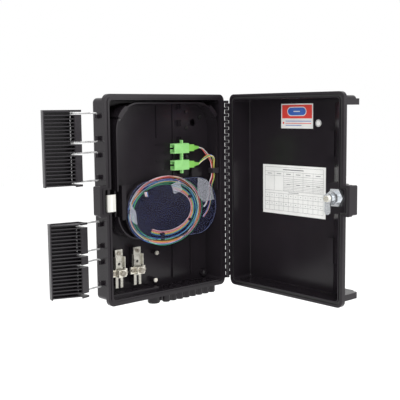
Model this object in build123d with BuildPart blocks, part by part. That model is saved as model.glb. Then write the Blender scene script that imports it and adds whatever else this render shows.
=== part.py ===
from build123d import *
import os
from math import cos, radians, sin, tan

os.makedirs("parts", exist_ok=True)

# Wall-mounted fibre termination box, modelled with its lid swung open 90 degrees.
# Origin: centre of the four wall holes on the back face. +Y into the wall, +X towards the hinge, +Z up.

# ---- Driving dimensions, mm ----
rim_width = 194.5
rim_height = 260.0
rim_radius = 8.0
rim_thickness = 5.6
body_inset = 4.5
cavity_inset = 7.3
wall = 2.8
base_depth = 34.0
lid_depth = 34.5
lid_bevel = 5.5
lid_inner_bevel = 0.5
hinge_offset = 5.45

# Bulge on the lock side of both halves, where the lock's cam swings
bulge_reach = 9.5
bulge_height = 38.0
bulge_z = 1.0
bulge_depth = 15.5
bulge_root = 14.0
bulge_inset_ratio = 0.7

# Seal: tongue on the base, groove and rubber cord in the lid
groove_inset = 3.2
groove_width = 2.8
groove_depth = 2.6
gasket_inset = 3.4
gasket_width = 2.4
gasket_thickness = 1.4
tongue_inset = 4.0
tongue_width = 1.2
tongue_height = 1.0

# Piano hinge
knuckle_radius = 2.6
pin_radius = 1.3
pin_clearance = 0.06
base_knuckle_length = 3.5
lid_knuckle_length = 5.0
knuckle_gap = 0.2
knuckle_pairs = 27
leaf_thickness = 2.4
leaf_reach = 1.3

# Wall mounting
mount_spacing_x = 165.0
mount_spacing_z = 232.0
mount_hole_radius = 2.75
boss_radius = 5.5
boss_height = 5.0

# Cable ports in the bottom wall
port_pitch = 11.4
port_count = 8
port_rows = (13.0, 24.0)
port_lobe_radius = 5.6
port_hole_radius = 4.0
port_drop = 10.0
feeder_row = 18.0
feeder_lobe_radius = 8.3
feeder_hole_radius = 6.0
cable_radius = 4.0
drop_cable_radius = 1.5

# Lever latches
wire_radius = 1.1
wire_clearance = 0.08
bail_span = 34.5
rib_pitch = bail_span / 8
rib_thickness = 1.2
rib_count = 21
lever_height = 90.0
latch_z = 66.25
latch_pivot = Vector(-95.55, -14.0)
crossbar_closed = Vector(-100.35, -53.5)
lever_swing = -166.7
bail_swing = {"upper": -77.1, "lower": -69.1}

# Cam lock
lock_u = 175.0
lock_z = 2.5
lock_platform_depth = 16.0
cam_depth = -3.8
cam_thickness = 2.0
cam_reach = 15.3
cam_half_width = 4.3

# Fibre dish, a shallow tray hung in the base
dish_width = 167.2
dish_height = 171.7
dish_x = 4.8
dish_z = 33.85
dish_corner = 35.0
dish_wall = 1.8
dish_front = 3.0
dish_floor = 22.0
dish_plate = 2.0
dish_screw_points = [(-62.0, 100.0), (72.0, 100.0), (-66.0, -30.0), (73.0, -36.0)]
dish_notch_depth = 18.5
floor_screw_points = [(-3.5, -77.0), (-6.5, -113.0)]

# Adapters, connectors and splice tray
adapter_x = 33.0
adapter_axis_depth = 15.7
adapter_z = {"upper": 59.6, "lower": 37.6}
adapter_slots = (103.6, 81.6, 59.6, 37.6)
tray_x = 14.5
tray_z = -18.0
tray_width = 147.0
tray_height = 75.0
tray_corner = 34.0
coil_x = 5.25
coil_z = -20.4

# Cable clamps
clamp_x = {"left": -66.75, "right": -38.05}
clamp_z = -89.0
clamp_height = 49.0
clamp_depth = 20.0
clamp_plate = 1.5

half_width = rim_width / 2
half_height = rim_height / 2
rim_y = -base_depth
hinge_x = half_width + hinge_offset
hinge_period = base_knuckle_length + lid_knuckle_length + 2 * knuckle_gap
hinge_bottom = -(knuckle_pairs * hinge_period + base_knuckle_length) / 2
cavity_depth = base_depth - wall
lid_floor = lid_depth - wall
lock_x = lock_u - half_width
port_first_x = half_width - 14.6
port_middle_x = port_first_x - (port_count - 1) * port_pitch / 2
feeder_x = half_width - 111.0

# Planes that look into each half from its mouth; depth is measured along their negative normal
base_mouth = Plane(origin=(0, rim_y, 0), x_dir=(1, 0, 0), z_dir=(0, -1, 0))
lid_mouth = Plane(
    origin=(hinge_x, rim_y - hinge_offset - half_width, 0), x_dir=(0, -1, 0), z_dir=(-1, 0, 0)
)
# Section through the open lid: local X is the distance from its hinge-side edge, local Y is depth
lid_section = Plane(origin=(hinge_x, rim_y - hinge_offset, 0), x_dir=(0, -1, 0), z_dir=(0, 0, 1))


def base_at(depth):
    """Plane parallel to the base's mouth, the given depth inside it."""
    return base_mouth.offset(-depth)


def lid_at(depth):
    """Plane parallel to the lid's mouth, the given depth inside it."""
    return lid_mouth.offset(-depth)


def rim_outline(inset, lock_side):
    """Rim outline, inset from its outer edge, with the bulge around the lock."""
    RectangleRounded(rim_width - 2 * inset, rim_height - 2 * inset, rim_radius - inset / 2)
    outer_edge = half_width + bulge_reach - inset
    inner_edge = half_width - bulge_root
    with Locations((lock_side * (outer_edge + inner_edge) / 2, bulge_z)):
        RectangleRounded(outer_edge - inner_edge, bulge_height - 2 * bulge_inset_ratio * inset, 2.0)


def rim_ring(inset, width, lock_side):
    """Closed band that follows the rim outline."""
    rim_outline(inset, lock_side)
    with BuildSketch(mode=Mode.PRIVATE) as inner:
        rim_outline(inset + width, lock_side)
    add(inner.sketch, mode=Mode.SUBTRACT)


def box_between(plane, low, high, depth, mode=Mode.ADD):
    """Block from the plane inwards, between two corners given in the plane."""
    with BuildSketch(plane) as profile:
        with Locations(((low[0] + high[0]) / 2, (low[1] + high[1]) / 2)):
            Rectangle(abs(high[0] - low[0]), abs(high[1] - low[1]))
    extrude(profile.sketch, amount=-depth, mode=mode)


def round_bar(plane, points, radius, depth, mode=Mode.ADD):
    """Round bars from the plane inwards at the given points."""
    with BuildSketch(plane) as profile:
        with Locations(*points):
            Circle(radius)
    extrude(profile.sketch, amount=-depth, mode=mode)


def prism(plane, points, height, mode=Mode.ADD):
    """Upright prism on the plane."""
    with BuildSketch(plane) as profile:
        with BuildLine():
            Polyline(*points, close=True)
        make_face()
    extrude(profile.sketch, amount=height, mode=mode)


def knuckles(first_z, count, length, arm_side):
    """Row of hinge barrels with a leaf from each to the rim beside it."""
    for i in range(count):
        z = first_z + i * hinge_period
        with BuildSketch(Plane.XY.offset(z)) as profile:
            with Locations((hinge_x, rim_y)):
                Circle(knuckle_radius)
            with BuildLine():
                Polyline(*[(hinge_x + p[0], rim_y + p[1]) for p in arm_side], close=True)
            make_face()
        extrude(profile.sketch, amount=length)


def finish(piece, name):
    """Label a finished piece and write it to its own file."""
    piece.part.label = name
    export_step(piece.part, f"parts/{name}.step")


# ---- Base shell ----
mount_points = [
    (side * mount_spacing_x / 2, end * mount_spacing_z / 2) for side in (-1, 1) for end in (-1, 1)
]
drop_points = [
    (port_first_x - i * port_pitch, rim_y + row) for i in range(port_count) for row in port_rows
]
feeder_point = (feeder_x, rim_y + feeder_row)
sleeve_top = -half_height + cavity_inset + 1.0
sleeve_bottom = -half_height - port_drop

with BuildPart() as base_shell:
    # Rim flange, body and the bulge beside the lock
    with BuildSketch(base_mouth):
        rim_outline(0, -1)
    extrude(amount=-rim_thickness)
    with BuildSketch(base_mouth):
        RectangleRounded(rim_width - 2 * body_inset, rim_height - 2 * body_inset, 6.0)
    extrude(amount=-base_depth)
    fillet(faces().sort_by(Axis.Y)[-1].edges(), 4.0)
    with BuildSketch(base_mouth):
        with Locations((-half_width, bulge_z)):
            RectangleRounded(2 * bulge_reach - 2, bulge_height - 2, 2.0)
    extrude(amount=-bulge_depth)
    # Sleeves of the cable ports under the bottom wall
    with BuildSketch(Plane.XY.offset(sleeve_bottom)):
        with Locations(*drop_points):
            Circle(port_lobe_radius)
        with Locations((port_middle_x, rim_y + sum(port_rows) / 2)):
            Rectangle((port_count - 1) * port_pitch + 6, port_rows[1] - port_rows[0] + 7)
        with Locations(feeder_point):
            Circle(feeder_lobe_radius)
    extrude(amount=sleeve_top - sleeve_bottom)
    # Hollow of the box and the pocket inside the bulge
    with BuildSketch(base_mouth):
        rim_outline(cavity_inset, -1)
    extrude(amount=-(bulge_depth - wall), mode=Mode.SUBTRACT)
    with BuildSketch(base_mouth):
        RectangleRounded(rim_width - 2 * cavity_inset, rim_height - 2 * cavity_inset, 4.35)
    extrude(amount=-cavity_depth, mode=Mode.SUBTRACT)
    # Sealing tongue
    with BuildSketch(base_mouth):
        rim_ring(tongue_inset, tongue_width, -1)
    extrude(amount=tongue_height)
    # Bosses for the wall screws, the dish and the cable clamps
    round_bar(base_at(cavity_depth - boss_height), mount_points, boss_radius, boss_height)
    dish_post_depth = dish_floor + dish_plate
    round_bar(base_at(dish_post_depth), dish_screw_points, 4.0, cavity_depth - dish_post_depth)
    for x in clamp_x.values():
        clamp_back = clamp_depth + clamp_plate
        box_between(
            base_at(clamp_back),
            (x - 5, clamp_z - clamp_height / 2 + 2),
            (x + 5, clamp_z + clamp_height / 2 - 1),
            cavity_depth - clamp_back,
        )
        round_bar(base_at(clamp_back), [(x - 8.8, -94), (x + 8.8, -94)], 3.2, cavity_depth - clamp_back)
    round_bar(base_at(24.0), floor_screw_points, 3.4, cavity_depth - 24.0)
    # Cable shelf in the bottom corner and ribs on the floor
    box_between(base_at(9.0), (-half_width + 7, -122.7), (-12.0, -118.4), cavity_depth - 9.0)
    for x in (28.0, 60.0):
        box_between(base_at(28.5), (x, -116.0), (x + 1.6, -66.0), cavity_depth - 28.5)
    # Bridge across the mouth of the bulge, which carries the strike
    box_between(base_at(1.4), (-94.5, -14.5), (-91.0, 16.5), 2.0)
    # Two hooked tongues that hold the top corners of the dish
    for side in (-1, 1):
        corner = (dish_x + side * (dish_width / 2 - dish_corner), dish_z + dish_height / 2 - dish_corner)
        middle = 90 - side * 48
        hook_top = dish_front - 2.2
        hook_parts = ((dish_corner + 0.4, cavity_depth - hook_top), (dish_corner - 3.2, 1.8))
        for inner, reach in hook_parts:
            with BuildSketch(base_at(hook_top)):
                with BuildLine():
                    outer_arc = CenterArc(corner, dish_corner + 2.6, middle - 14, 28)
                    inner_arc = CenterArc(corner, inner, middle - 14, 28)
                    Line(outer_arc @ 0, inner_arc @ 0)
                    Line(outer_arc @ 1, inner_arc @ 1)
                make_face()
            extrude(amount=-reach)
    # Lugs that hold the ends of the latch wires
    for zc in (latch_z, -latch_z):
        for bail in (-1, 1):
            bail_z = zc + bail * (1.5 * rib_pitch + bail_span / 2)
            for end in (-1, 1):
                lug_near = bail_z + end * (bail_span / 2 - wire_radius - 0.4)
                lug_far = lug_near - end * 5.0
                with BuildSketch(Plane.XY.offset(min(lug_near, lug_far))):
                    with Locations((latch_pivot.X, latch_pivot.Y)):
                        Circle(2.7)
                    with Locations((latch_pivot.X + 2.4, latch_pivot.Y)):
                        Rectangle(4.8, 5.4)
                extrude(amount=5.0)
            with BuildSketch(Plane.XY.offset(bail_z - bail_span / 2 - 2)):
                with Locations((latch_pivot.X, latch_pivot.Y)):
                    Circle(wire_radius + wire_clearance)
            extrude(amount=bail_span + 4, mode=Mode.SUBTRACT)
    # Hinge knuckles with the bore for the pin
    arm_reach = -hinge_offset - 0.5
    base_arm = [(arm_reach, 0), (0, 0), (0, leaf_thickness), (arm_reach, leaf_thickness)]
    knuckles(hinge_bottom, knuckle_pairs + 1, base_knuckle_length, base_arm)
    base_leaf = [(half_width - 0.5, rim_y), (half_width + leaf_reach, rim_y)]
    base_leaf += [(x, rim_y + leaf_thickness) for x, y in reversed(base_leaf)]
    prism(Plane.XY.offset(hinge_bottom), base_leaf, -2 * hinge_bottom)
    with BuildSketch(Plane.XY.offset(hinge_bottom - 1)):
        with Locations((hinge_x, rim_y)):
            Circle(pin_radius)
    extrude(amount=-2 * hinge_bottom + 2, mode=Mode.SUBTRACT)
    # Holes: wall screws, dish and clamp pilots, cable ports
    boss_front = base_at(cavity_depth - boss_height)
    round_bar(boss_front, mount_points, mount_hole_radius, boss_height + wall, Mode.SUBTRACT)
    round_bar(base_at(dish_post_depth), dish_screw_points, 1.2, 6.0, Mode.SUBTRACT)
    round_bar(base_at(24.0), floor_screw_points, 1.5, 6.5, Mode.SUBTRACT)
    for x in clamp_x.values():
        round_bar(base_at(clamp_back), [(x - 8.8, -94), (x + 8.8, -94)], 1.5, 8.0, Mode.SUBTRACT)
        round_bar(base_at(clamp_back), [(x, -69.0)], 1.5, 8.0, Mode.SUBTRACT)
    with BuildSketch(Plane.XY.offset(sleeve_bottom)):
        with Locations(*drop_points):
            Circle(port_hole_radius)
        with Locations(feeder_point):
            Circle(feeder_hole_radius)
    extrude(amount=sleeve_top - sleeve_bottom, mode=Mode.SUBTRACT)
finish(base_shell, "base_shell")

# ---- Lid shell ----
# Slopes beside the lock that the closed levers lie on: (distance from the hinge edge, depth)
slope_outer = [(190.0, 9.0), (162.0, 27.9), (162.0, 45.0), (215.0, 45.0), (215.0, 9.0)]
bay_roof = 6.8
slope_inner = [(188.6, bay_roof), (159.4, 26.5), (159.4, 45.0), (215.0, 45.0), (215.0, bay_roof)]
lever_bays = [(bulge_z + bulge_height / 2, 114.0), (-114.0, bulge_z - bulge_height / 2)]
lock_edge = 160.0
lock_roof = 13.4


with BuildPart() as lid_hollow:
    with BuildSketch(lid_mouth):
        RectangleRounded(rim_width - 2 * cavity_inset, rim_height - 2 * cavity_inset, 4.35)
    extrude(amount=-lid_floor)
    chamfer(faces().sort_by(Axis.X)[-1].edges(), lid_inner_bevel)
    for low, high in lever_bays:
        with BuildSketch(lid_section.offset(low - wall)):
            with BuildLine():
                Polyline(*slope_inner, close=True)
            make_face()
        extrude(amount=high - low + 2 * wall, mode=Mode.SUBTRACT)
    with BuildSketch(lid_section.offset(bulge_z - bulge_height / 2)):
        with BuildLine():
            Polyline(
                (lock_edge - wall, lock_roof), (215, lock_roof), (215, 45), (lock_edge - wall, 45), close=True
            )
        make_face()
    extrude(amount=bulge_height, mode=Mode.SUBTRACT)
    # Shallow part under the bays, and the deeper part that reaches into the bulge
    with BuildSketch(lid_mouth):
        rim_outline(cavity_inset, 1)
    extrude(amount=-bay_roof)
    with BuildSketch(lid_mouth):
        rim_outline(cavity_inset, 1)
        with Locations((0, bulge_z)):
            Rectangle(2 * rim_width, bulge_height - 2 * wall, mode=Mode.INTERSECT)
    extrude(amount=-lock_roof)

with BuildPart() as lid_shell:
    with BuildSketch(lid_mouth):
        RectangleRounded(rim_width - 2 * body_inset, rim_height - 2 * body_inset, 6.0)
    extrude(amount=-lid_depth)
    chamfer(faces().sort_by(Axis.X)[-1].edges(), lid_bevel)
    # Fins that frame the lever bays at the free edge
    for z in (117.75, -117.75):
        with BuildSketch(lid_section.offset(z - 3.75)):
            with BuildLine():
                Polyline((176, 4), (194.5, 4), (194.5, 28.6), (192.5, 30.6), (176, 30.6), close=True)
            make_face()
        extrude(amount=7.5)
    for low, high in lever_bays:
        with BuildSketch(lid_section.offset(low)):
            with BuildLine():
                Polyline(*slope_outer, close=True)
            make_face()
        extrude(amount=high - low, mode=Mode.SUBTRACT)
    # Step for the lock, and the bulge beside it
    with BuildSketch(lid_section.offset(bulge_z - bulge_height / 2)):
        with BuildLine():
            Polyline(
                (lock_edge, lock_platform_depth), (215, lock_platform_depth), (215, 45), (lock_edge, 45), close=True
            )
        make_face()
    extrude(amount=bulge_height, mode=Mode.SUBTRACT)
    with BuildSketch(lid_mouth):
        with Locations((half_width, bulge_z)):
            RectangleRounded(2 * bulge_reach - 2, bulge_height - 2, 2.0)
    extrude(amount=-lock_platform_depth)
    with BuildSketch(lid_mouth):
        rim_outline(0, 1)
    extrude(amount=-rim_thickness)
    add(lid_hollow.part, mode=Mode.SUBTRACT)
    # Groove for the seal
    with BuildSketch(lid_mouth):
        rim_ring(groove_inset, groove_width, 1)
    extrude(amount=-groove_depth, mode=Mode.SUBTRACT)
    # Inner pads behind the lever bays
    for z in (66.5, -66.5):
        box_between(lid_at(24.0), (53.0, z - 16), (63.5, z + 16), lid_floor - 24.0)
    # Hinge knuckles with the running bore for the pin
    lid_arm = [(0, 0), (0, -hinge_offset - 0.5), (leaf_thickness, -hinge_offset - 0.5), (leaf_thickness, 0)]
    lid_first = hinge_bottom + base_knuckle_length + knuckle_gap
    knuckles(lid_first, knuckle_pairs, lid_knuckle_length, lid_arm)
    leaf_root = rim_y - hinge_offset
    lid_leaf = [(hinge_x, leaf_root - 0.5), (hinge_x, leaf_root + leaf_reach)]
    lid_leaf += [(hinge_x + leaf_thickness, y) for x, y in reversed(lid_leaf)]
    prism(Plane.XY.offset(lid_first), lid_leaf, -2 * lid_first)
    with BuildSketch(Plane.XY.offset(hinge_bottom)):
        with Locations((hinge_x, rim_y)):
            Circle(pin_radius + pin_clearance)
    extrude(amount=-2 * hinge_bottom, mode=Mode.SUBTRACT)
    # Hole for the lock's barrel
    round_bar(lid_at(0), [(lock_x, lock_z)], 8.0, lock_platform_depth + 1, Mode.SUBTRACT)
finish(lid_shell, "lid_shell")

with BuildPart() as hinge_pin:
    with BuildSketch(Plane.XY.offset(hinge_bottom)):
        with Locations((hinge_x, rim_y)):
            Circle(pin_radius)
    extrude(amount=-2 * hinge_bottom)
finish(hinge_pin, "hinge_pin")

with BuildPart() as lid_gasket:
    with BuildSketch(lid_at(groove_depth - gasket_thickness)):
        rim_ring(gasket_inset, gasket_width, 1)
    extrude(amount=-gasket_thickness)
finish(lid_gasket, "lid_gasket")

# ---- Lever latches, drawn closed and placed swung out ----
rib_profile = [
    (-2.0, 11.3), (5.0, 11.3), (6.4, 9.3), (32.0, -7.9), (33.4, -9.2),
    (30.4, -15.4), (-0.6, -1.0), (-2.0, -1.0),
]
skin_profile = [(-4.4, 13.75), (-4.4, -1.6), (30.0, -17.6), (31.0, -15.4), (-2.0, -0.2), (-2.0, 13.75)]
nose_profile = [(-4.4, 13.75), (6.2, 13.75), (6.2, 12.2), (5.0, 11.25), (-4.4, 11.25)]
tip_profile = [(28.9, -17.1), (30.0, -17.6), (34.4, -9.6), (33.4, -8.6), (32.4, -9.2)]
wire_offsets = [side * count * rib_pitch for side in (-1, 1) for count in (1.5, 9.5)]
wire_reach = crossbar_closed - latch_pivot


def swung(center, angle, z):
    """Plane turned about Z, holding a profile that is drawn in the closed position."""
    return Plane(
        origin=(center.X, center.Y, z),
        x_dir=(cos(radians(angle)), sin(radians(angle)), 0),
        z_dir=(0, 0, 1),
    )


for name, side in (("upper", 1), ("lower", -1)):
    swing = bail_swing[name]
    zc = side * latch_z
    crossbar = latch_pivot + wire_reach.rotate(Axis.Z, swing)
    # Two wire bails hooked into the base
    for bail_name, bail in (("outer", side), ("inner", -side)):
        bail_z = zc + bail * (1.5 * rib_pitch + bail_span / 2)
        h = bail_span / 2
        route = [
            (0, 0, h - 6.5), (0, 0, h), (-3.5, -8.0, h), (wire_reach.X, wire_reach.Y, h),
            (wire_reach.X, wire_reach.Y, -h), (-3.5, -8.0, -h), (0, 0, -h), (0, 0, -h + 6.5),
        ]
        with BuildPart() as latch_wire:
            with BuildLine(swung(latch_pivot, swing, bail_z)) as wire_line:
                FilletPolyline(*route, radius=[1.5, 6.0, 1.5, 1.5, 6.0, 1.5])
            with BuildSketch(Plane(origin=wire_line.line @ 0, z_dir=wire_line.line % 0)):
                Circle(wire_radius)
            sweep()
        finish(latch_wire, f"{name}_latch_{bail_name}_wire")
    # Moulded lever with its stiffening ribs
    with BuildPart() as latch_lever:
        prism(swung(crossbar, lever_swing, zc - lever_height / 2), skin_profile, lever_height)
        prism(swung(crossbar, lever_swing, zc - lever_height / 2), nose_profile, lever_height)
        prism(swung(crossbar, lever_swing, zc - lever_height / 2), tip_profile, lever_height)
        for i in range(rib_count):
            rib_z = zc + (i - rib_count // 2) * rib_pitch - rib_thickness / 2
            prism(swung(crossbar, lever_swing, rib_z), rib_profile, rib_thickness)
        for offset in wire_offsets:
            slot = [(7.0, 15.0), (-5.0, 15.0), (-5.0, -3.4), (0.0, -1.6)]
            slot += [(2.1, 0.0), (2.1, 9.0), (7.0, 9.0)]
            slot_plane = swung(crossbar, lever_swing, zc + offset - wire_radius - 0.45)
            prism(slot_plane, slot, 2 * wire_radius + 0.9, Mode.SUBTRACT)
        with BuildSketch(swung(crossbar, lever_swing, zc - lever_height / 2 - 1)):
            Circle(wire_radius + wire_clearance)
        extrude(amount=lever_height + 2, mode=Mode.SUBTRACT)
    finish(latch_lever, f"{name}_latch_lever")

# ---- Cam lock ----
with BuildPart() as lock_barrel:
    round_bar(lid_at(lock_platform_depth + 3.5), [(lock_x, lock_z)], 10.5, -3.5)
    fillet(faces().sort_by(Axis.X)[-1].edges(), 1.0)
    round_bar(lid_at(0.6), [(lock_x, lock_z)], 7.9, lock_platform_depth - 0.6)
    round_bar(lid_at(cam_depth), [(lock_x, lock_z)], 4.6, 0.6 - cam_depth)
    # Keyway in the head
    key_plane = lid_at(lock_platform_depth + 1.0)
    box_between(key_plane, (lock_x - 0.9, lock_z - 3.6), (lock_x + 0.9, lock_z + 3.6), 4, Mode.SUBTRACT)
finish(lock_barrel, "lock_barrel")

with BuildPart() as lock_nut:
    with BuildSketch(lid_at(8.2)):
        with Locations((lock_x, lock_z)):
            RegularPolygon(12.2, 6)
            Circle(7.9, mode=Mode.SUBTRACT)
    extrude(amount=-(13.4 - 8.2))
finish(lock_nut, "lock_nut")

with BuildPart() as lock_cam:
    with BuildSketch(lid_at(cam_depth)):
        with Locations((lock_x, lock_z)):
            Circle(6.2)
        with Locations((lock_x, lock_z - cam_reach / 2)):
            Rectangle(2 * cam_half_width, cam_reach)
        with Locations((lock_x, lock_z - cam_reach)):
            Circle(cam_half_width)
        with Locations((lock_x, lock_z)):
            Circle(2.05, mode=Mode.SUBTRACT)
    extrude(amount=cam_thickness)
finish(lock_cam, "lock_cam")

with BuildPart() as lock_screw:
    with BuildSketch(lid_at(cam_depth - cam_thickness)):
        with Locations((lock_x, lock_z)):
            RegularPolygon(4.2, 6)
    extrude(amount=2.8)
    round_bar(lid_at(cam_depth - cam_thickness), [(lock_x, lock_z)], 2.0, cam_thickness)
finish(lock_screw, "lock_screw")

with BuildPart() as lock_strike:
    with BuildSketch(Plane.XY.offset(-12.6)):
        with BuildLine():
            Polyline(
                (-83.6, rim_y + 0.2), (-95.8, rim_y + 0.2), (-95.8, rim_y + 3.4), (-94.6, rim_y + 3.4),
                (-94.6, rim_y + 1.4), (-83.6, rim_y + 1.4), close=True,
            )
        make_face()
    extrude(amount=21)
finish(lock_strike, "lock_strike")

# ---- Fibre dish with its screws ----
with BuildPart() as fibre_dish:
    with BuildSketch(base_at(dish_front)):
        with Locations((dish_x, dish_z)):
            RectangleRounded(dish_width, dish_height, dish_corner)
    extrude(amount=-(dish_floor + dish_plate - dish_front))
    with BuildSketch(base_at(dish_front)):
        with Locations((dish_x, dish_z)):
            RectangleRounded(
                dish_width - 2 * dish_wall, dish_height - 2 * dish_wall, dish_corner - dish_wall
            )
    extrude(amount=-(dish_floor - dish_front), mode=Mode.SUBTRACT)
    # Lowered wall where the splice tray and the coil pass over it
    notch_depth = dish_notch_depth - dish_front
    box_between(base_at(dish_front), (-47.0, -60.0), (95.0, 1.0), notch_depth, Mode.SUBTRACT)
    # Notch that clears the lock's cam when the lid is closed
    box_between(base_at(dish_front), (-82.0, -20.5), (-70.0, 11.5), 6.5, Mode.SUBTRACT)
    # Guide ribs, a ledge below the adapters and the stepped block beside the splice tray
    box_between(base_at(dish_floor - 2), (-3.4, 74.0), (-1.6, 116.0), 2.0)
    box_between(base_at(dish_floor - 5), (53.5, 20.5), (72.0, 32.6), 5.0)
    box_between(base_at(dish_floor - 12), (-67.0, -26.0), (-60.6, 17.5), 12.0)
    box_between(base_at(18.3), (-60.6, -10.0), (-44.0, 17.5), dish_floor - 18.3)
    for z in (adapter_z["upper"], adapter_z["lower"]):
        for dz, length in ((5.6, 22), (-5.6, 10)):
            box_between(base_at(dish_floor - 1.2), (18.5 - length, z + dz - 0.5), (18.5, z + dz + 0.5), 1.2)
    # Way through for the incoming fibres and the screw holes
    round_bar(base_at(dish_floor), [(-40.0, -44.0), (60.0, 118.0 - 25.0)], 5.0, dish_plate, Mode.SUBTRACT)
    round_bar(base_at(dish_floor), dish_screw_points, 1.5, dish_plate, Mode.SUBTRACT)
finish(fibre_dish, "fibre_dish")

with BuildPart() as dish_screws:
    round_bar(base_at(dish_floor - 1.8), dish_screw_points, 3.0, 1.8)
    round_bar(base_at(dish_floor), dish_screw_points, 1.15, 7.0)
finish(dish_screws, "dish_screws")

# ---- Adapter rack: two rows of cheeks that hold the adapter flanges ----
rack_depth = 1.6
rack_screw_z = (107.4, 85.9, 47.7)
with BuildPart() as adapter_rack:
    box_between(base_at(dish_floor - rack_depth), (24.0, 23.0), (52.0, 117.4), rack_depth)
    for x in (adapter_x - 2.1, adapter_x + 1.1):
        box_between(base_at(15.6), (x, 25.0), (x + 1.0, 116.2), dish_floor - rack_depth - 15.6)
    slot_depth = dish_floor - rack_depth - 10.0
    for z in adapter_slots:
        box_between(base_at(10.0), (24.0, z - 7.0), (46.0, z + 7.0), slot_depth, Mode.SUBTRACT)
    round_bar(base_at(15.0), [(47.0, z) for z in rack_screw_z], 1.5, 10.0, Mode.SUBTRACT)
finish(adapter_rack, "adapter_rack")

with BuildPart() as rack_screws:
    round_bar(base_at(dish_floor - rack_depth - 1.5), [(47.0, z) for z in rack_screw_z], 2.6, 1.5)
    round_bar(base_at(dish_floor - rack_depth), [(47.0, z) for z in rack_screw_z], 1.4, 1.5)
finish(rack_screws, "rack_screws")

# ---- Adapters with their connectors ----
adapter_left = adapter_x - 13.7
adapter_right = adapter_x + 11.3
for name, z in adapter_z.items():
    section = Plane(origin=(adapter_left, rim_y + adapter_axis_depth, z), x_dir=(0, 0, 1), z_dir=(1, 0, 0))
    with BuildPart() as adapter:
        with BuildSketch(section):
            RectangleRounded(13.0, 9.2, 0.6)
        extrude(amount=adapter_right - adapter_left)
        with BuildSketch(section.offset(adapter_x - 0.9 - adapter_left)):
            RectangleRounded(21.7, 9.2, 0.8)
        extrude(amount=1.8)
        with BuildSketch(section):
            Rectangle(9.3, 7.6)
        extrude(amount=adapter_right - adapter_left, mode=Mode.SUBTRACT)
        # Key slot at the open end
        with BuildSketch(section):
            with Locations((0, -4.2)):
                Rectangle(2.4, 2.0)
        extrude(amount=6.0, mode=Mode.SUBTRACT)
    finish(adapter, f"{name}_adapter")
    with BuildPart() as connector:
        with BuildSketch(section.offset(16.0)):
            RectangleRounded(8.9, 7.3, 0.5)
        extrude(amount=18.5)
        with BuildSketch(section.offset(34.5)):
            RectangleRounded(7.0, 6.0, 0.8)
        with BuildSketch(section.offset(44.9)):
            Circle(1.7)
        loft()
        # Ferrule sleeve inside the adapter
        with BuildSketch(section.offset(7.0)):
            Circle(1.25)
        extrude(amount=9.0)
    finish(connector, f"{name}_connector")

# ---- Splice tray, its clear cover and the fibre coil ----
with BuildPart() as splice_tray:
    with BuildSketch(base_at(14.0)):
        with Locations((tray_x, tray_z)):
            RectangleRounded(tray_width, tray_height, tray_corner)
    extrude(amount=-4.0)
    with BuildSketch(base_at(14.0)):
        with Locations((tray_x, tray_z)):
            RectangleRounded(tray_width - 3, tray_height - 3, tray_corner - 1.5)
    extrude(amount=-2.4, mode=Mode.SUBTRACT)
    # Fingers that keep the coil down: a post beside the coil and a blade over it
    box_between(base_at(9.4), (-60.3, -19.0), (-58.0, -14.0), 8.6)
    box_between(base_at(9.4), (-60.3, -19.0), (-50.0, -14.0), 0.9)
    box_between(base_at(9.4), (-6.5, -51.4), (-0.5, -48.8), 8.6)
    box_between(base_at(9.4), (-6.5, -58.0), (-0.5, -48.8), 0.9)
    round_bar(base_at(8.8), [(44.0, -5.0), (44.0, -35.8), (-33.0, -4.0)], 2.0, 9.2)
finish(splice_tray, "splice_tray")

with BuildPart() as tray_spacers:
    round_bar(base_at(18.0), [(-20.0, -44.0), (-20.0, 8.0), (60.0, -44.0), (60.0, 8.0)], 3.0, 4.0)
finish(tray_spacers, "tray_spacers")

with BuildPart() as tray_cover:
    with BuildSketch(base_at(7.8)):
        with Locations((tray_x, tray_z)):
            RectangleRounded(tray_width + 1.5, tray_height + 1.5, tray_corner + 0.7)
        with Locations((-1.5, tray_z - tray_height / 2 - 0.4)):
            Rectangle(11.0, 4.0, mode=Mode.SUBTRACT)
        with Locations((-30.0, 4.0)):
            Circle(5.0, mode=Mode.SUBTRACT)
    extrude(amount=-1.0)
finish(tray_cover, "tray_cover")

with BuildPart() as fibre_coil:
    with BuildSketch(base_at(10.6)):
        with Locations((coil_x, coil_z)):
            Ellipse(62.5, 46.0)
            Ellipse(50.0, 34.0, mode=Mode.SUBTRACT)
    extrude(amount=-3.0)
finish(fibre_coil, "fibre_coil")


# ---- Pigtails from the connectors through the clip to the coil ----
def bend_radii(points):
    """Radius of each arc: 0.45 of the shorter run beside it over the tangent of half its turn."""
    radii = []
    for before, here, after in zip(points, points[1:], points[2:]):
        turn = (here - before).get_angle(after - here)
        radii.append(0.45 * min((here - before).length, (after - here).length) / tan(radians(turn / 2)))
    return radii


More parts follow.
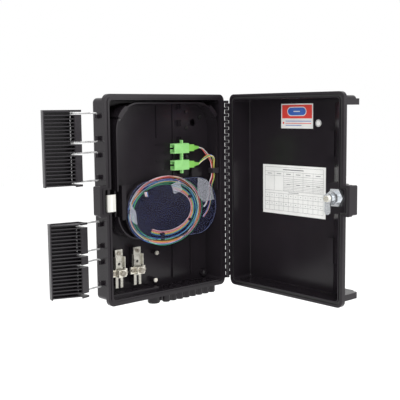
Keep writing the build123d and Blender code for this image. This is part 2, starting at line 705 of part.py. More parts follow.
pigtail_radius = 1.5
boot_end_x = adapter_left + 45.5
pigtail_routes = {
    "upper": [
        (boot_end_x, -18.3, 59.6), (71.5, -18.5, 57.5), (77.5, -21.0, 50.0), (80.7, -25.0, 42.0),
        (80.7, -27.0, 34.0), (80.7, -27.1, 21.0), (80.6, -22.3, 10.5), (79.0, -22.1, -5.0),
        (74.5, -22.1, -16.5), (70.6, -22.0, -21.0),
    ],
    "lower": [
        (boot_end_x, -18.3, 37.6), (68.5, -18.5, 38.0), (73.5, -23.0, 45.0), (78.5, -28.3, 49.5),
        (83.2, -29.3, 44.5),
        (84.3, -27.0, 34.0), (84.3, -27.1, 19.0), (84.1, -22.3, 6.0), (82.6, -22.1, -12.0),
        (77.0, -22.1, -26.0), (69.4, -22.0, -34.5),
    ],
}
for name, route in pigtail_routes.items():
    route_points = [Vector(*point) for point in route]
    with BuildPart() as pigtail:
        with BuildLine() as pigtail_line:
            FilletPolyline(*route_points, radius=bend_radii(route_points))
        with BuildSketch(Plane(origin=pigtail_line.line @ 0, z_dir=pigtail_line.line % 0)):
            Circle(pigtail_radius)
        sweep()
    finish(pigtail, f"{name}_pigtail")

with BuildPart() as pigtail_clip:
    box_between(base_at(dish_front - 1.1), (77.6, 24.6), (89.4, 31.4), 1.1)
    box_between(base_at(dish_front), (77.6, 24.6), (86.55, 31.4), 7.0)
    box_between(base_at(dish_front), (88.45, 24.6), (89.4, 31.4), 6.0)
    box_between(base_at(5.1), (78.9, 24.0), (86.1, 32.0), 3.8, Mode.SUBTRACT)
finish(pigtail_clip, "pigtail_clip")

# ---- Cable clamps: a bracket, an arched strap and its screws for each feeder cable ----
for name, x in clamp_x.items():
    low = clamp_z - clamp_height / 2
    high = clamp_z + clamp_height / 2
    with BuildPart() as clamp_bracket:
        box_between(base_at(clamp_depth), (x - 5.6, low), (x + 5.6, high), clamp_plate)
        box_between(base_at(clamp_depth), (x - 11.6, -98.5), (x + 11.6, -89.5), clamp_plate)
        for side in (-1, 1):
            edge = x + side * 6.8
            cheek_height = 3.5 + clamp_plate
            box_between(base_at(clamp_depth - 3.5), (edge - 0.6, -88.0), (edge + 0.6, -73.5), cheek_height)
            box_between(base_at(clamp_depth), (x + side * 5.0, -88.0), (edge, -73.5), clamp_plate)
        box_between(base_at(clamp_depth), (x - 1.8, low - 1), (x + 1.8, -101.0), clamp_plate, Mode.SUBTRACT)
        clamp_holes = [(x, -69.0), (x - 8.8, -94.0), (x + 8.8, -94.0)]
        round_bar(base_at(clamp_depth), clamp_holes, 1.7, clamp_plate, Mode.SUBTRACT)
        round_bar(base_at(clamp_depth), [(x, -83.0)], 1.9, clamp_plate, Mode.SUBTRACT)
    finish(clamp_bracket, f"{name}_clamp_bracket")
    with BuildPart() as clamp_strap:
        arch = [
            (-11.6, 18.7), (-6.2, 18.7), (-5.6, 12.2), (5.6, 12.2), (6.2, 18.7), (11.6, 18.7),
            (11.6, 20.0), (4.9, 20.0), (4.3, 13.5), (-4.3, 13.5), (-4.9, 20.0), (-11.6, 20.0),
        ]
        prism(Plane.XY.offset(-98.5), [(x + across, rim_y + depth) for across, depth in arch], 9.0)
        round_bar(base_at(18.0), [(x - 8.8, -94.0), (x + 8.8, -94.0)], 1.7, 3.0, Mode.SUBTRACT)
        round_bar(base_at(12.0), [(x, -94.0)], 1.9, 3.0, Mode.SUBTRACT)
    finish(clamp_strap, f"{name}_clamp_strap")

ear_points = [(x + side * 8.8, -94.0) for x in clamp_x.values() for side in (-1, 1)]
with BuildPart() as clamp_ear_screws:
    round_bar(base_at(16.7), ear_points, 2.5, 2.0)
    round_bar(base_at(18.7), ear_points, 1.45, 8.0)
finish(clamp_ear_screws, "clamp_ear_screws")

crown_points = [(x, -94.0) for x in clamp_x.values()]
with BuildPart() as clamp_crown_screws:
    round_bar(base_at(9.6), crown_points, 3.6, 2.6)
    round_bar(base_at(12.2), crown_points, 1.8, 2.0)
finish(clamp_crown_screws, "clamp_crown_screws")

foot_points = [(x, -69.0) for x in clamp_x.values()]
with BuildPart() as clamp_foot_screws:
    round_bar(base_at(18.2), foot_points, 2.6, 1.8)
    round_bar(base_at(20.0), foot_points, 1.45, 7.0)
finish(clamp_foot_screws, "clamp_foot_screws")

with BuildPart() as floor_screws:
    round_bar(base_at(22.2), floor_screw_points, 2.8, 1.8)
    round_bar(base_at(24.0), floor_screw_points, 1.45, 6.0)
finish(floor_screws, "floor_screws")

# ---- Rubber seals in the ports ----
with BuildPart() as drop_port_seals:
    with BuildSketch(Plane.XY.offset(sleeve_bottom - 1.2)):
        with Locations(*drop_points):
            Circle(port_hole_radius + 0.8)
    extrude(amount=1.2)
    with BuildSketch(Plane.XY.offset(sleeve_bottom)):
        with Locations(*drop_points):
            Circle(port_hole_radius)
    extrude(amount=13.0)
    with BuildSketch(Plane.XY.offset(sleeve_bottom - 1.2)):
        with Locations(*drop_points):
            Circle(drop_cable_radius)
    extrude(amount=14.2, mode=Mode.SUBTRACT)
finish(drop_port_seals, "drop_port_seals")

with BuildPart() as feeder_port_seal:
    with BuildSketch(Plane.XY.offset(sleeve_bottom - 1.2)):
        with Locations(feeder_point):
            Circle(feeder_hole_radius + 1.2)
    extrude(amount=1.2)
    with BuildSketch(Plane.XY.offset(sleeve_bottom)):
        with Locations(feeder_point):
            Circle(feeder_hole_radius)
    extrude(amount=14.0)
    with BuildSketch(Plane.XY.offset(sleeve_bottom - 1.2)):
        with Locations(feeder_point):
            Circle(cable_radius)
    extrude(amount=15.2, mode=Mode.SUBTRACT)
finish(feeder_port_seal, "feeder_port_seal")

# ---- Labels on the lid's floor ----
label_thickness = 0.3
labels = {
    "safety_label": ((66.0, 84.5), (120.4, 116.5)),
    "record_card": ((32.8, -29.5), (142.0, 36.0)),
}
for name, (low, high) in labels.items():
    with BuildPart() as label:
        box_between(
            lid_at(lid_floor - label_thickness),
            (low[0] - half_width, low[1]),
            (high[0] - half_width, high[1]),
            label_thickness,
        )
    finish(label, name)

with BuildPart() as round_sticker:
    round_bar(lid_at(lid_floor - label_thickness), [(129.3 - half_width, 91.6)], 4.5, label_thickness)
finish(round_sticker, "round_sticker")
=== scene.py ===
import math
import random

import bpy
from mathutils import Matrix, Vector


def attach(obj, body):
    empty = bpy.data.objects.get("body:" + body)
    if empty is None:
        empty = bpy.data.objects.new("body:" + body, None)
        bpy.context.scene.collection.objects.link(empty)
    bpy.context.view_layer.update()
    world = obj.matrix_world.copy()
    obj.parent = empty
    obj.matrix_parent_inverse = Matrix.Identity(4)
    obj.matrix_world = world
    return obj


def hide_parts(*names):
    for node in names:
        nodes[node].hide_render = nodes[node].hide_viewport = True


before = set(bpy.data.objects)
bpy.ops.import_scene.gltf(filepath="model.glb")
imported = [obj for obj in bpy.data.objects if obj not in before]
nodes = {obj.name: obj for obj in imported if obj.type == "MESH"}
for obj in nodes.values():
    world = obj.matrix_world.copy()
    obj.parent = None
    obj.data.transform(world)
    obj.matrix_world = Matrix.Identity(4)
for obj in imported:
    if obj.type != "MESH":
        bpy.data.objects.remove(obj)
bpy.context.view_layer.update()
random.seed(7)

# ---------------------------------------------------------------- dimensions, millimetres
RIM_Y = -34.0
HALF_W = 97.25
HINGE_OFFSET = 5.45
HINGE_X = HALF_W + HINGE_OFFSET
LID_FLOOR_X = HINGE_X + 31.7
LID_MID_Y = RIM_Y - HINGE_OFFSET - HALF_W
MM = 0.001
COIL_X = 5.25
COIL_Z = -20.4
COIL_HALF_W = 62.5
COIL_HALF_H = 46.0
COIL_DEPTH = 12.1
INNER_ARC_DEPTH = 12.6
FIBRE_R = 0.36
COVER_X = 14.5
COVER_Z = -18.0
COVER_HOLE = (-30.0, 4.0)
COVER_PATCH_DEPTH = 7.6
LABEL_THICK = 0.3
FLOOR_Z = -600
FLOOR_REACH = 6000
CAMERA_PLACE = (-0.63347, -0.81547, 0.10970)
CAMERA_TURN = (-41.29, 6.549, 0.587)
CAMERA_LENS = 70.6257


# ---------------------------------------------------------------- material helpers
def node_tree(name):
    mat = bpy.data.materials.new(name)
    mat.use_nodes = True
    tree = mat.node_tree
    shader = tree.nodes["Principled BSDF"]
    return mat, tree, shader


def noise(tree, scale, detail=4.0, rough=0.55, stretch=(1, 1, 1)):
    coord = tree.nodes.new("ShaderNodeTexCoord")
    mapping = tree.nodes.new("ShaderNodeMapping")
    mapping.inputs["Scale"].default_value = stretch
    tree.links.new(coord.outputs["Object"], mapping.inputs["Vector"])
    tex = tree.nodes.new("ShaderNodeTexNoise")
    tex.inputs["Scale"].default_value = scale
    tex.inputs["Detail"].default_value = detail
    tex.inputs["Roughness"].default_value = rough
    tree.links.new(mapping.outputs["Vector"], tex.inputs["Vector"])
    return tex


def spread(tree, source, low, high, from_low=0.3, from_high=0.7):
    ramp = tree.nodes.new("ShaderNodeMapRange")
    ramp.inputs["From Min"].default_value = from_low
    ramp.inputs["From Max"].default_value = from_high
    ramp.inputs["To Min"].default_value = low
    ramp.inputs["To Max"].default_value = high
    tree.links.new(source, ramp.inputs["Value"])
    return ramp.outputs["Result"]


def tint(tree, factor, first, second):
    mix = tree.nodes.new("ShaderNodeMix")
    mix.data_type = "RGBA"
    mix.inputs[6].default_value = (*first, 1)
    mix.inputs[7].default_value = (*second, 1)
    tree.links.new(factor, mix.inputs[0])
    return mix.outputs[2]


def add_bump(tree, shader, height, strength, distance):
    bump = tree.nodes.new("ShaderNodeBump")
    bump.inputs["Strength"].default_value = strength
    bump.inputs["Distance"].default_value = distance
    tree.links.new(height, bump.inputs["Height"])
    tree.links.new(bump.outputs["Normal"], shader.inputs["Normal"])


def surface(name, low, high, rough=(0.35, 0.5), metallic=0.0, grain=1400, patch=35, bump=0.15,
            depth=0.00005, specular=0.5, stretch=(1, 1, 1)):
    """Procedural surface: patchy tint and roughness, with a fine grain in its bump."""
    mat, tree, shader = node_tree(name)
    broad = noise(tree, patch, stretch=stretch)
    fine = noise(tree, grain, 2.0, stretch=stretch)
    share = spread(tree, broad.outputs["Fac"], 0, 1)
    tree.links.new(tint(tree, share, low, high), shader.inputs["Base Color"])
    tree.links.new(spread(tree, broad.outputs["Fac"], rough[0], rough[1]), shader.inputs["Roughness"])
    shader.inputs["Metallic"].default_value = metallic
    shader.inputs["Specular IOR Level"].default_value = specular
    add_bump(tree, shader, fine.outputs["Fac"], bump, depth)
    return mat


def fibre_material(name, color):
    dark = tuple(c * 0.8 for c in color)
    return surface(name, dark, color, (0.25, 0.4), grain=2500, patch=220, bump=0.05, specular=0.5)


shell_black = surface(
    "shell_black", (0.0135, 0.0112, 0.0138), (0.0172, 0.014, 0.0174), (0.2, 0.27), grain=1100, patch=14,
    bump=0.3, depth=0.00007, specular=0.25,
)
dish_black = surface(
    "dish_black", (0.013, 0.0108, 0.0133), (0.0165, 0.0135, 0.0168), (0.16, 0.22), patch=14, bump=0.14,
    specular=0.25,
)
lever_black = surface(
    "lever_black", (0.016, 0.0135, 0.0165), (0.022, 0.019, 0.0228), (0.3, 0.4), bump=0.2, specular=0.4,
)
# Darker copy of the nickel for the clamp brackets: painted shade, so they read darker than the nickel
# straps.
bracket_nickel = surface(
    "bracket_nickel", (0.36, 0.35, 0.31), (0.66, 0.64, 0.57), (0.25, 0.4), 0.75, grain=900, patch=170,
    bump=0.04,
)
dark_metal = surface(
    "dark_metal", (0.05, 0.05, 0.05), (0.1, 0.1, 0.1), (0.2, 0.3), 0.9, grain=1500, bump=0.05,
)
screw_nickel = surface(
    "screw_nickel", (0.2, 0.18, 0.15), (0.42, 0.39, 0.34), (0.25, 0.4), 0.85, grain=900, patch=300,
    bump=0.05,
)
# Rubber for the gasket and port seals; the same material also colours the dark disc of painted shade in the
# cover's hole.
rubber_and_painted_shade = surface("rubber_and_painted_shade", (0.012, 0.012, 0.012), (0.026, 0.026, 0.026), (0.6, 0.8), grain=2200, bump=0.3)
nickel = surface(
    "nickel", (0.68, 0.65, 0.56), (0.84, 0.81, 0.73), (0.22, 0.34), 0.8, grain=900, patch=140, bump=0.03,
)
brushed = surface(
    "brushed", (0.5, 0.49, 0.46), (0.86, 0.85, 0.8), (0.3, 0.5), 0.6, grain=900, patch=160, bump=0.05,
    stretch=(1, 1, 0.06),
)
steel = surface(
    "steel", (0.78, 0.78, 0.78), (0.9, 0.9, 0.9), (0.2, 0.3), 0.45, grain=1600, patch=90, bump=0.03,
)
chrome = surface(
    "chrome", (0.68, 0.71, 0.74), (0.86, 0.88, 0.9), (0.12, 0.2), 0.75, grain=1800, patch=70, bump=0.02,
)
green = surface(
    "green", (0.27, 0.62, 0.2), (0.34, 0.72, 0.26), (0.32, 0.45), grain=1500, patch=120, bump=0.06,
)
key_green = surface(
    "key_green", (0.2, 0.55, 0.08), (0.26, 0.62, 0.12), (0.32, 0.45), grain=1500, patch=120, bump=0.06,
)
paper = surface(
    "paper", (0.78, 0.78, 0.76), (0.88, 0.88, 0.86), (0.5, 0.65), grain=2600, patch=40, bump=0.05,
)
ink = surface("ink", (0.06, 0.06, 0.07), (0.14, 0.14, 0.15), (0.5, 0.65), grain=2600, patch=60, bump=0.05)
pale_ink = surface(
    "pale_ink", (0.2, 0.2, 0.2), (0.3, 0.3, 0.3), (0.5, 0.65), grain=2600, patch=60, bump=0.05,
)
red_ink = surface(
    "red_ink", (0.72, 0.04, 0.03), (0.82, 0.07, 0.05), (0.4, 0.55), grain=2600, patch=60, bump=0.05,
)
blue_ink = surface(
    "blue_ink", (0.03, 0.1, 0.45), (0.05, 0.15, 0.55), (0.4, 0.55), grain=2600, patch=60, bump=0.05,
)

FIBRE_COLOURS = {
    "white": (0.9, 0.9, 0.9),
    "blue": (0.06, 0.2, 0.75),
    "orange": (0.95, 0.28, 0.05),
    "green": (0.08, 0.55, 0.18),
    "brown": (0.4, 0.13, 0.06),
    "red": (0.8, 0.03, 0.07),
    "yellow": (0.95, 0.72, 0.12),
    "pink": (0.9, 0.45, 0.5),
    "aqua": (0.25, 0.7, 0.72),
}
fibre_mats = {name: fibre_material("fibre_" + name, color) for name, color in FIBRE_COLOURS.items()}


def clear_film(name, color, alpha, rough, patch=60):
    """Thin clear sheet: mostly see-through, with a soft tinted sheen that varies across it."""
    mat, tree, shader = node_tree(name)
    broad = noise(tree, patch)
    share = spread(tree, broad.outputs["Fac"], 0, 1)
    tree.links.new(tint(tree, share, tuple(c * 0.85 for c in color), color), shader.inputs["Base Color"])
    tree.links.new(spread(tree, broad.outputs["Fac"], rough, rough + 0.08), shader.inputs["Roughness"])
    tree.links.new(spread(tree, broad.outputs["Fac"], alpha * 0.85, alpha * 1.15), shader.inputs["Alpha"])
    shader.inputs["Specular IOR Level"].default_value = 0.2
    add_bump(tree, shader, noise(tree, 25, 1.0).outputs["Fac"], 0.04, 0.0003)
    return mat


film = clear_film("film", (0.07, 0.085, 0.2), 0.085, 0.08)
film_edge = clear_film("film_edge", (0.16, 0.19, 0.36), 0.6, 0.3)
# Whitish see-through sheet for the cover patches: partly clear tape, partly a painted glare on the cover.
tape_and_glare = clear_film("tape_and_glare", (0.5, 0.52, 0.6), 0.34, 0.35, 400)
mesh_wrap = clear_film("mesh_wrap", (0.42, 0.43, 0.48), 0.42, 0.5, 900)

CAD_LOOKS = {
    "base_shell": shell_black, "lid_shell": shell_black, "fibre_dish": dish_black,
    "adapter_rack": dish_black, "rack_screws": dark_metal, "dish_screws": dark_metal,
    "floor_screws": nickel,
    "splice_tray": dish_black, "tray_spacers": dish_black, "pigtail_clip": lever_black, "hinge_pin": steel,
    "lock_strike": brushed, "lid_gasket": rubber_and_painted_shade, "drop_port_seals": rubber_and_painted_shade, "feeder_port_seal": rubber_and_painted_shade,
    "lock_barrel": chrome, "lock_nut": chrome, "lock_cam": chrome, "lock_screw": nickel,
    "upper_latch_lever": lever_black, "lower_latch_lever": lever_black, "upper_adapter": green,
    "lower_adapter": green, "upper_connector": key_green, "lower_connector": key_green,
    "record_card": paper, "safety_label": paper, "round_sticker": paper, "tray_cover": film,
}
for name, obj in nodes.items():
    look = CAD_LOOKS.get(name)
    if look is None:
        if "wire" in name:
            look = steel
        elif "bracket" in name:
            # Brackets take the darker copy of the nickel, which is painted shade.
            look = bracket_nickel
        elif "clamp" in name and "screws" in name:
            look = screw_nickel
        elif "clamp" in name or "screws" in name:
            look = nickel
        else:
            look = shell_black
    obj.data.materials.clear()
    obj.data.materials.append(look)


# ---------------------------------------------------------------- mesh helpers
def new_mesh(name, verts, faces, mats, face_mats, smooth):
    mesh = bpy.data.meshes.new(name)
    mesh.from_pydata([tuple(c * MM for c in v) for v in verts], [], faces)
    for mat in mats:
        mesh.materials.append(mat)
    for poly, index in zip(mesh.polygons, face_mats):
        poly.material_index = index
        poly.use_smooth = smooth
    mesh.update()
    obj = bpy.data.objects.new(name, mesh)
    bpy.context.scene.collection.objects.link(obj)
    return obj


class Builder:
    """Collects boxes, tubes and plates into one mesh, with a material index per face."""

    def __init__(self):
        self.verts, self.faces, self.mats, self.index = [], [], [], []

    def slot(self, mat):
        if mat not in self.mats:
            self.mats.append(mat)
        return self.mats.index(mat)

    def box(self, low, high, mat):
        base = len(self.verts)
        for x in (low[0], high[0]):
            for y in (low[1], high[1]):
                for z in (low[2], high[2]):
                    self.verts.append((x, y, z))
        for quad in ((0, 1, 3, 2), (4, 6, 7, 5), (0, 4, 5, 1), (2, 3, 7, 6), (0, 2, 6, 4), (1, 5, 7, 3)):
            self.faces.append([base + i for i in quad])
            self.index.append(self.slot(mat))

    def prism(self, points, direction, mat):
        """Flat outline, given in order, pushed along a direction."""
        base = len(self.verts)
        count = len(points)
        push = Vector(direction)
        self.verts += [tuple(p) for p in points]
        self.verts += [tuple(Vector(p) + push) for p in points]
        self.faces.append([base + i for i in range(count)][::-1])
        self.faces.append([base + count + i for i in range(count)])
        for i in range(count):
            j = (i + 1) % count
            self.faces.append([base + i, base + j, base + count + j, base + count + i])
        self.index += [self.slot(mat)] * (count + 2)

    def tube(self, points, radius, mat, sides=8):
        """Round tube through the points, with closed ends."""
        pts = [Vector(p) for p in points]
        base = len(self.verts)
        count = len(pts)
        up = None
        for i, p in enumerate(pts):
            ahead = (pts[min(i + 1, count - 1)] - pts[max(i - 1, 0)]).normalized()
            if up is None:
                up = ahead.orthogonal().normalized()
            up = (up - ahead * up.dot(ahead)).normalized()
            side = ahead.cross(up)
            r = radius(i / (count - 1)) if callable(radius) else radius
            for k in range(sides):
                a = 2 * math.pi * k / sides
                self.verts.append(tuple(p + up * (r * math.cos(a)) + side * (r * math.sin(a))))
        for i in range(count - 1):
            for k in range(sides):
                n = (k + 1) % sides
                a, b = base + i * sides, base + (i + 1) * sides
                self.faces.append([a + k, a + n, b + n, b + k])
                self.index.append(self.slot(mat))
        self.faces.append([base + k for k in range(sides)][::-1])
        self.faces.append([base + (count - 1) * sides + k for k in range(sides)])
        self.index += [self.slot(mat)] * 2

    def make(self, name, smooth=False):
        return new_mesh(name, self.verts, self.faces, self.mats, self.index, smooth)


def catmull(points, steps=10):
    """Smooth curve through the points."""
    pts = [Vector(p) for p in points]
    pts = [pts[0] * 2 - pts[1]] + pts + [pts[-1] * 2 - pts[-2]]
    out = []
    for i in range(1, len(pts) - 2):
        a, b, c, d = pts[i - 1], pts[i], pts[i + 1], pts[i + 2]
        for k in range(steps):
            t = k / steps
            out.append(0.5 * ((2 * b) + (c - a) * t + (2 * a - 5 * b + 4 * c - d) * t * t
                              + (3 * b - a - 3 * c + d) * t ** 3))
    out.append(pts[-2])
    return out


# ---------------------------------------------------------------- fibre coil on the splice tray
# Each fibre's distance inside the ring's outline at its right, top, left and bottom
RING_FIBRES = [
    ("green", 0.8, 2.2, 6.2, 0.7), ("pink", 2.2, 1.2, 2.6, 3.6), ("red", 3.2, 2.0, 3.4, 5.2),
    ("brown", 4.2, 3.2, 4.4, 6.4), ("orange", 5.4, 4.4, 2.9, 4.4), ("white", 7.6, 0.7, 1.6, 2.6),
    ("blue", 10.2, 5.4, 0.7, 1.6), ("aqua", 9.2, 6.8, 0.9, 9.0), ("blue", 11.6, 7.6, 5.2, 9.8),
    ("green", 12.4, 9.2, 7.6, 8.0), ("yellow", 6.4, 8.4, 3.8, 5.0),
]


def coil_piece():
    """Fibres of the coil: a loose ring, gathered under the blade on its left and fanned out on its right."""
    coil = Builder()
    for color, *insets in RING_FIBRES:
        wander = random.uniform(0, 6.28)
        points = []
        for k in range(145):
            quarter = 4 * k / 144
            corner = int(quarter) % 4
            blend = 0.5 - 0.5 * math.cos(math.pi * (quarter - int(quarter)))
            inset = insets[corner] * (1 - blend) + insets[(corner + 1) % 4] * blend
            a = 2 * math.pi * k / 144
            inset = max(inset + 0.4 * math.sin(3 * a + wander), 0.6)
            x = COIL_X + (COIL_HALF_W - inset) * math.cos(a)
            z = COIL_Z + (COIL_HALF_H - inset * 0.96) * math.sin(a)
            points.append((x, RIM_Y + COIL_DEPTH + 1.0 * math.sin(2 * a + wander * 1.7), z))
        coil.tube(points, 0.34, fibre_mats[color], 6)
    # Inner arc of fibres that ends at the lower left of the tray
    for n, color in enumerate(["blue", "green", "yellow", "orange", "pink", "red", "white"]):
        inset = 13.2 + n * 0.95
        points = []
        for k in range(60):
            a = math.radians(75 - 200 * k / 59)
            x = COIL_X + (COIL_HALF_W - inset - 3.0 * (k / 59)) * math.cos(a)
            z = COIL_Z + (COIL_HALF_H - inset) * math.sin(a)
            points.append((x, RIM_Y + INNER_ARC_DEPTH, z))
        coil.tube(points, FIBRE_R, fibre_mats[color], 6)
    # One stray green fibre inside the ring
    stray = []
    for k in range(50):
        a = math.radians(200 - 205 * k / 49)
        stray.append((1.0 + 50.0 * math.cos(a), RIM_Y + 12.2, -21.0 + 35.5 * math.sin(a)))
    coil.tube(stray, FIBRE_R, fibre_mats["green"], 6)
    return coil.make("coil_fibres", smooth=True)


coil = coil_piece()
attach(coil, "base")
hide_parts("fibre_coil")

# ---------------------------------------------------------------- pigtails
ROUTES = {
    "upper": [
        (64.8, -18.3, 59.6), (71.5, -18.5, 57.5), (77.0, -21.0, 50.5), (80.2, -25.0, 42.0),
        (80.7, -27.0, 34.0), (80.7, -27.1, 21.0), (80.6, -22.6, 10.5), (79.0, -22.1, -5.0),
        (74.5, -22.1, -16.5), (70.6, -22.0, -21.0),
    ],
    "lower": [
        (64.8, -18.3, 37.6), (70.5, -21.5, 43.5), (77.0, -27.5, 48.6), (82.4, -28.8, 44.5),
        (84.3, -27.0, 34.0), (84.3, -27.1, 19.0), (84.1, -22.6, 6.0), (82.6, -22.1, -12.0),
        (77.0, -22.1, -26.0), (69.4, -22.0, -34.5),
    ],
}
BUNDLES = {
    "upper": ["white", "white", "red", "brown", "white"],
    "lower": ["blue", "orange", "green", "yellow", "white"],
}
ROUTE_STEPS = 8
# The fibres part between the boot and the clip, which holds the route's fifth point
CLIP_POINT = 4
for name, route in ROUTES.items():
    bundle = Builder()
    for n, color in enumerate(BUNDLES[name]):
        angle = 2 * math.pi * n / 5
        points = []
        for i, p in enumerate(catmull(route, ROUTE_STEPS)):
            loose = math.sin(math.pi * min(i / (CLIP_POINT * ROUTE_STEPS), 1.0)) ** 2
            ring = 0.75 + 1.3 * loose
            twist = angle + 0.05 * i
            across, along = ring * math.cos(twist), ring * math.sin(twist)
            points.append((p.x + across, p.y + along * 0.8, p.z + along * 0.5))
        bundle.tube(points, 0.42, fibre_mats[color], 6)
    piece = bundle.make(name + "_pigtail_fibres", smooth=True)
    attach(piece, "base")
    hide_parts(name + "_pigtail")

# ---------------------------------------------------------------- labels on the lid floor
LABEL_X = LID_FLOOR_X - LABEL_THICK


def lid_point(across, z, lift=0.0):
    """Point on the lid's floor: across is measured from the lid's middle towards its free edge."""
    return (LABEL_X - lift, LID_MID_Y - across, z)


def lid_patch(builder, low, high, mat, lift):
    a = lid_point(low[0], low[1], lift)
    b = lid_point(high[0], high[1], lift - 0.06)
    builder.box([min(pair) for pair in zip(a, b)], [max(pair) for pair in zip(a, b)], mat)


def place_label(builder, node):
    """Printed label that takes its plain node's place on the lid."""
    piece = builder.make(node + "_print")
    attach(piece, "lid")
    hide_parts(node)


card = Builder()
card.box((LABEL_X, LID_MID_Y - 44.75, -29.5), (LABEL_X + LABEL_THICK, LID_MID_Y + 64.45, 36.0), paper)


def card_line(x0, z0, x1, z1, mat=pale_ink, lift=0.06, half=0.16):
    """Printed rule on the record card, level or upright."""
    low = (min(x0, x1) - (half if x0 == x1 else 0), min(z0, z1) - (half if z0 == z1 else 0))
    high = (max(x0, x1) + (half if x0 == x1 else 0), max(z0, z1) + (half if z0 == z1 else 0))
    lid_patch(card, low, high, mat, lift)


for z in (33.0, 27.0, 21.5, 1.5, -2.0, -8.0, -13.5, -18.5, -25.0):
    card_line(-60.5, z, 41.0, z)
for across in (-60.5, 41.0):
    card_line(across, -25.0, across, 33.0)
for across in (-43.6, -26.7, -9.8, 7.1, 24.0):
    card_line(across, 1.5, across, 27.0)
for i in range(4):
    card_line(-26.7, 18.2 - i * 2.4, 41.0, 18.2 - i * 2.4)
    card_line(-26.7, 8.4 - i * 1.9, 41.0, 8.4 - i * 1.9)
for i in range(1, 12):
    across = -60.5 + i * 101.5 / 12
    card_line(across, -25.0, across, -2.0)
for i in range(12):
    across = -60.5 + (i + 0.5) * 101.5 / 12
    for z in (-5.0, -16.0):
        card_line(across - 1.0, z, across + 1.0, z, ink, 0.07, 0.25)
for i in range(6):
    across = -52.0 + i * 16.9
    card_line(across - 4.0, 24.2, across + 4.0, 24.2, ink, 0.07, 0.35)
    if i > 1:
        card_line(across - 3.0, 10.6, across + 3.0, 10.6, ink, 0.07, 0.3)
card_line(-28.0, 30.0, 8.0, 30.0, ink, 0.07, 0.5)
card_line(-18.0, -0.2, 0.0, -0.2, ink, 0.07, 0.3)
place_label(card, "record_card")

SIGN_ACROSS, SIGN_Z = -4.0, 106.5
panel = Builder()
panel.box((LABEL_X, LID_MID_Y - 23.15, 84.5), (LABEL_X + LABEL_THICK, LID_MID_Y + 31.25, 116.5), paper)
lid_patch(panel, (-29.6, 97.5), (21.6, 115.0), red_ink, 0.06)


def capsule(stretch, straight, radius, height, lift):
    """Bar with round ends on the panel, level, around the panel's sign."""
    points = []
    for k in range(32):
        a = 2 * math.pi * k / 32
        side = straight if math.cos(a) > 0 else -straight
        across = SIGN_ACROSS + stretch * (side + radius * math.cos(a))
        points.append(lid_point(across, SIGN_Z + height * math.sin(a), lift))
    return points


panel.prism(capsule(1.0, 10.0, 6.5, 6.0, 0.14), (0.07, 0, 0), paper)
panel.prism(capsule(0.93, 10.0, 6.5, 6.0 * 0.82, 0.2), (0.07, 0, 0), blue_ink)
lid_patch(panel, (-9.5, 105.9), (1.5, 107.1), paper, 0.27)
lid_patch(panel, (-28.5, 90.4), (-26.0, 92.9), red_ink, 0.06)
for high, z, mat in ((20.0, 94.0, blue_ink), (20.5, 91.2, red_ink), (4.0, 88.6, blue_ink)):
    lid_patch(panel, (-23.5, z - 0.4), (high, z + 0.4), mat, 0.06)
place_label(panel, "safety_label")

STICKER_ACROSS, STICKER_Z = 32.05, 91.6


def sticker_point(radius, angle, lift=0.0):
    return lid_point(STICKER_ACROSS + radius * math.cos(angle), STICKER_Z + radius * math.sin(angle), lift)


ring = Builder()
angles = [2 * math.pi * k / 40 for k in range(41)]
ring.prism([sticker_point(4.5, a) for a in angles[:-1]], (LABEL_THICK, 0, 0), paper)
for a, b in zip(angles, angles[1:]):
    quad = [sticker_point(r, t, 0.08) for r, t in ((3.9, a), (3.9, b), (3.4, b), (3.4, a))]
    ring.prism(quad, (0.08, 0, 0), ink)
place_label(ring, "round_sticker")

# ---------------------------------------------------------------- clear cover of the splice tray
def rounded_outline(width, height, radius, cx, cz, depth, steps=14):
    points = []
    for qx, qz, start in ((1, 1, 0), (-1, 1, 90), (-1, -1, 180), (1, -1, 270)):
        ox, oz = cx + qx * (width / 2 - radius), cz + qz * (height / 2 - radius)
        for k in range(steps + 1):
            a = math.radians(start + 90 * k / steps)
            points.append((ox + radius * math.cos(a), RIM_Y + depth, oz + radius * math.sin(a)))
    return points


rim_line = rounded_outline(147.9, 75.9, 34.4, COVER_X, COVER_Z, 8.3)
edge = Builder()
edge.tube(rim_line + [rim_line[0]], 0.32, film_edge, 6)
edge_piece = edge.make("tray_cover_edge", smooth=True)
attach(edge_piece, "base")


# Fibres that show through the hole in the cover, in front of a dark disc that is painted shade inside the
# hole
hole = Builder()
# Dark disc behind the fibres, in the rubber material: painted shade of the hole.
hole_shade_disc = []
for k in range(32):
    a = math.pi * k / 16
    hole_shade_disc.append((COVER_HOLE[0] + 4.6 * math.cos(a), RIM_Y + 9.3, COVER_HOLE[1] + 4.6 * math.sin(a)))
hole.prism(hole_shade_disc, (0, 0.08, 0), rubber_and_painted_shade)
for n, color in enumerate(["white", "pink", "white", "blue"]):
    start = Vector((COVER_HOLE[0] - 2.6 + 1.3 * n, RIM_Y + 8.6, COVER_HOLE[1] + 3.0 - 0.2 * n))
    middle = start + Vector((0.5, 0.2, -3.0))
    hole.tube([start, middle, start + Vector((1.4, 0.0, -6.0))], 0.4, fibre_mats[color], 6)
hole_piece = hole.make("cover_hole_fibres", smooth=True)
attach(hole_piece, "base")


# Whitish see-through patches on the cover, partly clear tape and partly painted glare, and a piece of mesh
# over the coil's right side
def flat_patch(name, corners, mat):
    piece = Builder()
    piece.prism([(x, RIM_Y + COVER_PATCH_DEPTH, z) for x, z in corners], (0, 0.12, 0), mat)
    made = piece.make(name)
    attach(made, "base")


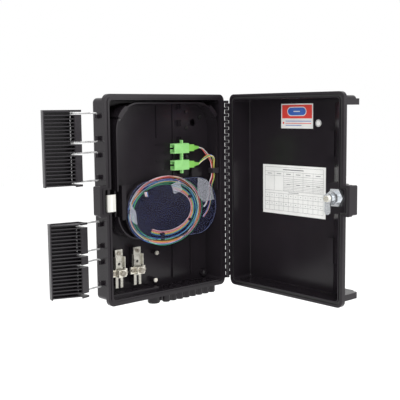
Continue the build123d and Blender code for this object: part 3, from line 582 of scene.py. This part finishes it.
# These two patches are partly clear tape and partly painted glare.
flat_patch("cover_tape_and_glare_upper", [(9.5, 13.5), (24.0, 18.0), (29.0, 4.5), (14.5, 0.5)], tape_and_glare)
flat_patch("cover_tape_and_glare_left", [(-57.0, -3.0), (-47.5, -18.0), (-46.0, -34.0), (-58.0, -26.0)], tape_and_glare)
wrap_outline = [(56.0, 20.0), (72.0, 16.0), (82.0, 3.0), (85.5, -12.0), (66.0, -14.0), (55.0, -4.0)]
flat_patch("cover_wrap", wrap_outline, mesh_wrap)

# ---------------------------------------------------------------- floor, light, camera
floor = Builder()
backdrop = surface(
    "backdrop", (0.93, 0.93, 0.93), (0.96, 0.96, 0.96), (0.8, 0.9), grain=200, patch=3, bump=0.02,
)
glow = backdrop.node_tree.nodes["Principled BSDF"]
glow.inputs["Emission Color"].default_value = (1, 1, 1, 1)
glow.inputs["Emission Strength"].default_value = 0.15
floor.box((-FLOOR_REACH, -FLOOR_REACH, FLOOR_Z - 4), (FLOOR_REACH, FLOOR_REACH, FLOOR_Z), backdrop)
floor_piece = floor.make("floor")

world = bpy.data.worlds.new("studio")
bpy.context.scene.world = world
world.use_nodes = True
world.node_tree.nodes["Background"].inputs["Color"].default_value = (1, 1, 1, 1)
world.node_tree.nodes["Background"].inputs["Strength"].default_value = 1.0


def softbox(name, place, target, size, power):
    light = bpy.data.lights.new(name, "AREA")
    light.shape = "RECTANGLE"
    light.size, light.size_y = size
    light.energy = power
    obj = bpy.data.objects.new(name, light)
    bpy.context.scene.collection.objects.link(obj)
    obj.location = place
    obj.rotation_euler = (Vector(target) - Vector(place)).to_track_quat("-Z", "Y").to_euler()


softbox("key", (-1.3, -1.6, 1.6), (0.05, -0.1, 0.0), (1.2, 1.2), 22)
softbox("fill", (1.2, -1.8, 0.7), (0.0, -0.05, 0.0), (1.0, 1.4), 9)
softbox("top", (0.0, -0.3, 2.0), (0.0, -0.1, 0.0), (1.6, 1.0), 9)

camera_data = bpy.data.cameras.new("camera")
camera_data.sensor_width = 36.0
camera_data.lens = CAMERA_LENS
camera_data.clip_start = 0.05
camera_data.clip_end = 50
camera = bpy.data.objects.new("camera", camera_data)
bpy.context.scene.collection.objects.link(camera)
yaw, tilt, roll = (math.radians(a) for a in CAMERA_TURN)
turn = Matrix(((math.cos(yaw), -math.sin(yaw), 0), (math.sin(yaw), math.cos(yaw), 0), (0, 0, 1)))
turn = turn @ Matrix(((1, 0, 0), (0, math.cos(tilt), math.sin(tilt)), (0, -math.sin(tilt), math.cos(tilt))))
turn = turn @ Matrix(((math.cos(roll), 0, math.sin(roll)), (0, 1, 0), (-math.sin(roll), 0, math.cos(roll))))
right, ahead, above = turn.col[0], turn.col[1], turn.col[2]
place = Matrix((right, above, -ahead)).transposed().to_4x4()
place.translation = Vector(CAMERA_PLACE)
camera.matrix_world = place
bpy.context.scene.camera = camera
bpy.context.scene.view_settings.view_transform = "Standard"
